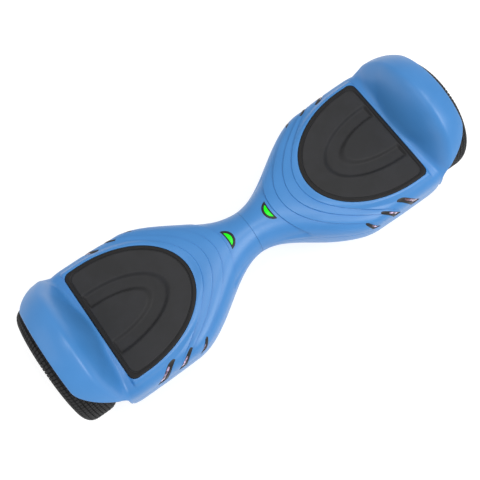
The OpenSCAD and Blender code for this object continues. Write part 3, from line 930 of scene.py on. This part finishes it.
def mathNode(material, operation, first, second):
    return addNode(material, "Math", {0: first, 1: second}, operation=operation).outputs[0]


def bumpNormal(material, height, depth, **under):    # relief of a depth in mm, over another's
    return addNode(material, "Bump", {"Height": height, "Distance": depth * mm,
                                      **under}).outputs["Normal"]


def driftAndGrain(material, shader, colours, patch, rough, grain, height):
    # two colours and two roughnesses that drift over patches, and a raised grain, sizes in mm
    place = addNode(material, "TexCoord").outputs["Object"]
    drift = addNode(material, "TexNoise", {"Vector": place, "Scale": 1 / (patch * mm),
                                           "Detail": 3}).outputs["Fac"]
    share = rangeMap(material, drift, 0.35, 0.65)
    tint = colourMix(material, share, linear(colours[0]), linear(colours[1]))
    shine = rangeMap(material, drift, 0.3, 0.7, *rough)
    grit = addNode(material, "TexNoise", {"Vector": place, "Scale": 1 / (grain * mm), "Detail": 2})
    normal = bumpNormal(material, grit.outputs["Fac"], height)
    plug(material, tint, shader, "Base Color")
    plug(material, shine, shader, "Roughness")
    plug(material, normal, shader, "Normal")
    return place, tint, normal


def plainFinish(name, colours, patch, rough, grain, height, metallic=0, ior=1.5, **sockets):
    material, shader = newFinish(name, metallic, ior, **sockets)
    driftAndGrain(material, shader, colours, patch, rough, grain, height)
    return material


def matFinish():                     # moulded rubber: matt, with the mould's grain, and a darker rim
    material, shader = newFinish("moulded mat rubber", Specular_IOR_Level=0.3)
    place, tint = driftAndGrain(material, shader, ("262627", "2d2d2f"), 25, (0.6, 0.72), 0.7,
                                0.05)[:2]
    height = addNode(material, "SeparateXYZ", {"Vector": place}).outputs["Z"]
    onRim = rangeMap(material, height, (padHigh[2] - 0.25) * mm, (padHigh[2] - 0.1) * mm)
    plug(material, colourMix(material, onRim, tint, linear("1a1919")), shader, "Base Color")
    return material


matRubber = matFinish()
# moulded ABS: an even colour with a soft satin shine, and a slight orange peel in it
coverPlastic = plainFinish("moulded satin ABS", ("3f80bf", "4485c5"), 60, (0.33, 0.39), 3.5, 0.006)
# glass filled nylon: black, finely grained, half matt
blackPlastic = plainFinish("black grained nylon", ("0e0e0f", "151517"), 12, (0.42, 0.54), 0.6, 0.02)
# tyre rubber: dark grey, dry, with paler dust in patches
tyreRubber = plainFinish("cured tyre rubber", ("1f1f20", "2b2b2c"), 9, (0.6, 0.8), 0.9, 0.06,
                         Specular_IOR_Level=0.3)
# die-cast aluminium: pale grey metal with a shot-blasted skin
castAluminium = plainFinish("die-cast aluminium", ("a3a6a8", "b7babb"), 18, (0.42, 0.58), 1.1, 0.06,
                            metallic=1)
# silicone rubber: milky and soft looking, nearly smooth
silicone = plainFinish("moulded silicone", ("cfd0cb", "dddeda"), 8, (0.45, 0.55), 1.5, 0.02, ior=1.41)
# zinc plated steel: cool grey with a cloudy plated bloom
platedSteel = plainFinish("zinc plated steel", ("a8adb2", "c2c5c8"), 5, (0.25, 0.4), 0.8, 0.01,
                          metallic=1)
# sintered bronze: brown gold, porous, oily in patches
sinteredBronze = plainFinish("sintered bronze", ("9c7637", "b8924c"), 3, (0.3, 0.55), 0.5, 0.05,
                             metallic=1)
# PVC cable sheath: black, rubbery, faintly rippled by the cores inside
cableSheath = plainFinish("PVC cable sheath", ("121213", "1b1b1c"), 20, (0.42, 0.52), 5, 0.15)
# PVC heat-shrink film: strong blue, shiny, slightly wrinkled over the cells
shrinkFilm = plainFinish("PVC shrink film", ("1d4f9e", "2459ab"), 30, (0.18, 0.3), 9, 0.5, ior=1.54)
# nickel plated magnets: warm bright grey, almost mirror smooth
nickelPlate = plainFinish("nickel plate", ("b5b1a6", "c4c0b6"), 6, (0.18, 0.3), 1.2, 0.01, metallic=1)


def silverPaint():                   # metallic paint: pale silver with fine flakes under lacquer
    material, shader = newFinish("silver metallic paint", metallic=0.55, Coat_Weight=0.5,
                                 Coat_Roughness=0.08)
    place = driftAndGrain(material, shader, ("c3c8cb", "cdd2d4"), 40, (0.3, 0.38), 0.8, 0.01)[0]
    flakes = addNode(material, "TexVoronoi", {"Vector": place, "Scale": 1 / (0.7 * mm)})
    glint = rangeMap(material, flakes.outputs["Distance"], 0, 0.9, 0.24, 0.42)
    plug(material, glint, shader, "Roughness")
    return material


def brushedSteel():                  # spun stainless: rings of fine scratches round the middle
    material, shader = newFinish("spun stainless steel", metallic=1)
    place, _, skin = driftAndGrain(material, shader, ("a9adb1", "bdc1c4"), 4, (0.22, 0.34), 0.5, 0.01)
    low, high = boxOf("power_button")
    middle = [-(low[i] + high[i]) / 2 * mm for i in range(3)]
    centred = addNode(material, "Mapping", {"Vector": place, "Location": middle})
    rings = addNode(material, "TexWave", {"Vector": centred.outputs["Vector"], "Scale": 1 / (3 * mm),
                                          "Distortion": 0.6, "Detail": 2},
                    wave_type="RINGS", rings_direction="Z")
    ridges = bumpNormal(material, rings.outputs["Fac"], 0.012, Normal=skin)
    plug(material, ridges, shader, "Normal")
    return material


def layeredFinish(name, colours, pitch, height, direction, rough, metallic=1):
    # a stack of sheets or turns of wire: lines a pitch apart, drawn a little coarse to show
    material, shader = newFinish(name, metallic)
    place, tint, skin = driftAndGrain(material, shader, colours, 6, rough, 0.7, 0.01)
    lines = addNode(material, "TexWave", {"Vector": place, "Scale": 0.314 / (pitch * mm)},
                    bands_direction=direction)
    dark = colourMix(material, 0.45, tint, lines.outputs["Color"], blend_type="MULTIPLY")
    ridges = bumpNormal(material, lines.outputs["Fac"], height, Normal=skin)
    plug(material, dark, shader, "Base Color")
    plug(material, ridges, shader, "Normal")
    return material


# stacked electrical steel: thin dark edges of sheets, seen as fine lines
laminations = layeredFinish("stacked electrical steel", ("6f7377", "858a8e"), 1, 0.05, "X", (0.35, 0.5))
# enamelled copper wire: glossy orange brown turns lying side by side
copperWinding = layeredFinish("enamelled copper wire", ("a85a22", "c4722f"), 1.2, 0.3, "X", (0.2, 0.3))


def boardFinish(name, low, high, under):         # green solder mask, with what stands over it
    material, shader = newFinish(name)
    place, tint = driftAndGrain(material, shader, ("0d3a22", "135031"), 7, (0.25, 0.4), 0.8, 0.02)[:2]
    tracks = addNode(material, "TexBrick", {"Vector": place, "Scale": 1 / (14 * mm),
                                            "Mortar Size": 0.05, "Color1": linear("0f4529"),
                                            "Color2": linear("123f28"), "Mortar": linear("3f8a55")})
    height = addNode(material, "SeparateXYZ", {"Vector": place}).outputs["Z"]
    over = mathNode(material, "GREATER_THAN", height, high * mm)
    below = mathNode(material, "LESS_THAN", height, low * mm)
    mask = colourMix(material, 0.6, tint, tracks.outputs["Color"])
    top = colourMix(material, over, mask, linear("19191b"))
    plug(material, colourMix(material, below, top, linear(under)), shader, "Base Color")
    return material


mainBoardFinish = boardFinish("main board solder mask", axleHeight - 22.1, axleHeight - 20.3, "8f9294")
sensorFinish = boardFinish("sensor board solder mask", 0, boxOf("sensor_board_right")[0][2] + 5, "19191b")


def ledFinish():                     # a white flexible strip with yellow phosphor squares on it
    material, shader = newFinish("LED strip film")
    place, tint = driftAndGrain(material, shader, ("dfe2e4", "eceeee"), 5, (0.35, 0.45), 0.6, 0.01)[:2]
    along = addNode(material, "SeparateXYZ", {"Vector": place}).outputs["X"]
    beat = mathNode(material, "MODULO", along, 12 * mm)
    lit = mathNode(material, "LESS_THAN", beat, 6 * mm)
    plug(material, colourMix(material, lit, tint, linear("e9dc9a")), shader, "Base Color")
    return material


def greenWindow():                   # lit acrylic: pure green, evenly bright, finely ribbed inside
    material, shader = newFinish("green lit acrylic", ior=1.49, Emission_Strength=0.95)
    place = driftAndGrain(material, shader, ("008a00", "00a000"), 4, (0.3, 0.4), 0.8, 0.02)[0]
    ribs = addNode(material, "TexWave", {"Vector": place, "Scale": 0.314 / (1.2 * mm)},
                   bands_direction="Y")
    glow = colourMix(material, ribs.outputs["Fac"], linear("00f400"), linear("06ff06"))
    plug(material, glow, shader, "Emission Color")
    return material


def clawWindow():                    # clear acrylic over a faceted reflector: pink, violet and grey, with painted highlights as pale patches on its facets; all of it glows faintly
    material, shader = newFinish("clear faceted acrylic", ior=1.49, Emission_Strength=0.12,
                                 Coat_Weight=0.6, Coat_Roughness=0.05)
    place, tint = driftAndGrain(material, shader, ("5f4448", "4d3a66"), 5, (0.16, 0.3), 0.9, 0.05)[:2]
    facets = addNode(material, "TexVoronoi", {"Vector": place, "Scale": 1 / (3.2 * mm)})
    facetHighlightShare = addNode(material, "SeparateColor", {"Color": facets.outputs["Color"]}).outputs["Red"]
    # the pale pink violet patches are painted highlights on the reflector's facets, and they go into the
    # faint glow too
    glassWithPaintedHighlights = colourMix(material, rangeMap(material, facetHighlightShare, 0.35, 0.85), tint, linear("dcc0e6"))
    plug(material, glassWithPaintedHighlights, shader, "Base Color")
    plug(material, glassWithPaintedHighlights, shader, "Emission Color")
    return material


def dress(piece, material):
    if not piece.material_slots:
        piece.data.materials.append(material)
    for materialSlot in piece.material_slots:
        materialSlot.material = material


bothSides = {
    "cover_top_": coverPlastic, "cover_bottom_": coverPlastic, "foot_mat_": matRubber,
    "status_frame_": blackPlastic, "status_window_": greenWindow(), "claw_frames_": blackPlastic,
    "claw_windows_": clawWindow(), "tread_tyre_": tyreRubber, "wheel_cap_": silverPaint(),
}
for stem, material in bothSides.items():
    for side in ("right", "left"):
        dress(bpy.data.objects[stem + side], material)
dress(bpy.data.objects["push_cap"], brushedSteel())
dress(bpy.data.objects["push_collar"], blackPlastic)
dress(bpy.data.objects["charge_port"], platedSteel)

insides = {
    "chassis_": castAluminium, "pad_carrier_": blackPlastic, "pad_bumpers_": silicone,
    "sensor_board_": sensorFinish, "light_strips_": ledFinish(), "motor_axle_": platedSteel,
    "stator_carrier_": castAluminium, "stator_core_": laminations, "stator_coils_": copperWinding,
    "axle_clamp_": castAluminium, "clamp_screws_": platedSteel, "rotor_shell_": castAluminium,
    "magnets_": nickelPlate, "wheel_bearings_": platedSteel, "cover_screws_": platedSteel,
}
for stem, material in insides.items():
    for side in ("right", "left"):
        dress(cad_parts[stem + side], material)
singles = {
    "pivot_tube": platedSteel, "pivot_bushes": sinteredBronze, "pivot_nut": platedSteel,
    "main_board": mainBoardFinish, "main_harness": cableSheath, "motor_cable_left": cableSheath,
    "motor_cable_right": cableSheath, "battery_pack": shrinkFilm, "battery_strap": blackPlastic,
}
for node, material in singles.items():
    dress(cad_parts[node], material)
print("finishes")


# camera, light and floor

studio = {
    "floorWhite": 0.4,
    "floorGlow": 0.72,               # lifts the floor to an even white
    "skyLight": 0.5,                 # the light that the sky gives
    "skySeen": 1,                    # what shows of it behind the floor's edge
    "lights": [                      # name, place and aim in metres, size, power
        ("key", (0.7, -1.4, 2.0), (0, 0, 0.1), (1.3, 1.3), 31),
        ("top", (0.4, 0.02, 2.4), (0.4, 0, 0.1), (1.9, 0.4), 15),
        ("fill", (-1.8, 0.6, 1.6), (0, 0, 0.1), (2.0, 1.4), 9),
    ],
}


def addCamera():
    data = bpy.data.cameras.new("camera")
    camera = bpy.data.objects.new("camera", data)
    bpy.context.collection.objects.link(camera)
    right = Vector((0.8114, -0.5838, -0.028)).normalized()
    back = right.cross(Vector((0.5611, 0.7646, 0.317))).normalized()
    up = back.cross(right)
    turn = Matrix((right, up, back)).transposed()
    camera.matrix_world = Matrix.Translation(Vector((-177.2, -272.3, 1021.3)) * mm) @ turn.to_4x4()
    data.lens = 59.26
    data.sensor_width = 36
    data.clip_end = 50
    bpy.context.scene.camera = camera


def addLight(name, place, aim, size, power):
    data = bpy.data.lights.new(name, "AREA")
    data.shape = "RECTANGLE"
    data.size, data.size_y = size
    data.energy = power
    light = bpy.data.objects.new(name, data)
    bpy.context.collection.objects.link(light)
    light.location = place
    light.rotation_euler = (Vector(aim) - Vector(place)).to_track_quat("-Z", "Y").to_euler()


def addFloor():
    deselectAll()
    bpy.ops.mesh.primitive_plane_add(size=60)
    floor = bpy.context.object
    floor.name = "floor"
    material = bpy.data.materials.new("white floor")
    material.use_nodes = True
    shader = material.node_tree.nodes["Principled BSDF"]
    shader.inputs["Base Color"].default_value = (*[studio["floorWhite"]] * 3, 1)
    shader.inputs["Roughness"].default_value = 0.6
    shader.inputs["Emission Color"].default_value = (1, 1, 1, 1)
    shader.inputs["Emission Strength"].default_value = studio["floorGlow"]
    floor.data.materials.append(material)


addCamera()
addFloor()
for settings in studio["lights"]:
    addLight(*settings)
world = bpy.data.worlds.new("studio")
bpy.context.scene.world = world
world.use_nodes = True
sky = world.node_tree.nodes["Background"]
sky.inputs["Color"].default_value = (1, 1, 1, 1)
seen = world.node_tree.nodes.new("ShaderNodeLightPath")
strength = world.node_tree.nodes.new("ShaderNodeMapRange")
strength.inputs["To Min"].default_value = studio["skyLight"]
strength.inputs["To Max"].default_value = studio["skySeen"]
world.node_tree.links.new(seen.outputs["Is Camera Ray"], strength.inputs["Value"])
world.node_tree.links.new(strength.outputs["Result"], sky.inputs["Strength"])
bpy.context.scene.view_settings.view_transform = "Standard"
